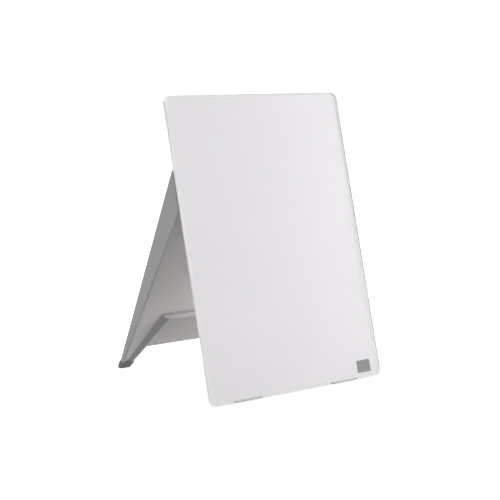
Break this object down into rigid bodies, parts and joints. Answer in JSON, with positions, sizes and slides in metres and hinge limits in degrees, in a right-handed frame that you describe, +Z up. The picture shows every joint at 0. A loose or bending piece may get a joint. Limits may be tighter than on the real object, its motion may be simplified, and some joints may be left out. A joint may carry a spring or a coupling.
{
  "type": "magnetic desk whiteboard easel",
  "caption": "Desk whiteboard easel: a magnetic white glass panel in portrait, leaning on a wide moulded plastic leg that folds flat behind it.",
  "frame": {"origin": "centre of the footprint's box on the desk, below the middle of the easel, with the easel standing open", "axes": "+Z up; +X to the right as a reader sees the board; +Y from the writing panel back to the leg"},
  "size_m": [0.22, 0.1638, 0.2861],
  "materials": {
    "glass": "clear toughened, polished edges",
    "white_print": "white film seen through the glass",
    "grey_print": "printed grey",
    "sheet_steel": "cold-rolled, plain",
    "foam_tape": "closed-cell foam",
    "cover_plastic": "fine moulded grain",
    "leg_plastic": "fine moulded grain",
    "bracket_metal": "satin grey",
    "bright_steel": "turned",
    "nylon": "natural nylon",
    "rubber": "matt",
    "silicone": "cloudy, soft"
  },
  "bodies": {
    "panel": {"glass_panel": "glass", "white_film": "white_print", "corner_mark": "grey_print", "steel_sheet": "sheet_steel", "bonding_tape": "foam_tape", "rear_cover": "cover_plastic", "hinge_bracket_left": "bracket_metal", "hinge_bracket_right": "bracket_metal", "bracket_screws": "bright_steel", "hinge_pin_left": "bright_steel", "hinge_pin_right": "bright_steel", "friction_washers": "nylon", "retaining_clips": "bright_steel", "panel_pad_left": "silicone", "panel_pad_right": "silicone"},
    "leg": {"leg_shell": "leg_plastic", "leg_foot_left": "rubber", "leg_foot_right": "rubber", "stop_bumpers": "rubber"}
  },
  "joints": [
    {"name": "leg_fold", "type": "hinge", "parent": "panel", "child": "leg", "pos_m": [0, 0.00051, 0.18031], "axis": [1, 0, 0], "range_deg": [-33, 0]}
  ]
}
